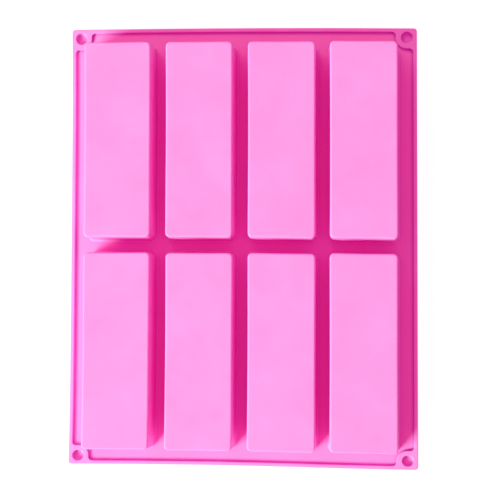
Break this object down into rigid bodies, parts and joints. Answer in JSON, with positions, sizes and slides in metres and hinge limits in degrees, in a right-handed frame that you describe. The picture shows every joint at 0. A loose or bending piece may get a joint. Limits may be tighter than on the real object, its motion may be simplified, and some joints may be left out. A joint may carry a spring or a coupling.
{
  "type": "silicone soap bar mould",
  "caption": "Flexible one-piece mould with long rectangular cavities for soap bars, a thin web, a raised rim and round recesses in the corner lands.",
  "frame": {"origin": "middle of the moulding's outline on its open side, which lies on the ground plane", "axes": "+X across the columns of cups, +Y along the bars, +Z from the open side to the cups' closed faces; the mould is drawn face down, as it is stored, and is turned over for pouring"},
  "size_m": [0.234, 0.295, 0.028],
  "materials": {
    "silicone": "satin pink silicone, soft and slightly translucent"
  },
  "bodies": {
    "root": {"web_sheet": "silicone", "cup_row1_col1": "silicone", "cup_row1_col2": "silicone", "cup_row1_col3": "silicone", "cup_row1_col4": "silicone", "cup_row2_col1": "silicone", "cup_row2_col2": "silicone", "cup_row2_col3": "silicone", "cup_row2_col4": "silicone", "rim_front": "silicone", "rim_right": "silicone", "rim_rear": "silicone", "rim_left": "silicone", "corner_front_left": "silicone", "corner_front_right": "silicone", "corner_rear_right": "silicone", "corner_rear_left": "silicone"}
  },
  "joints": []
}
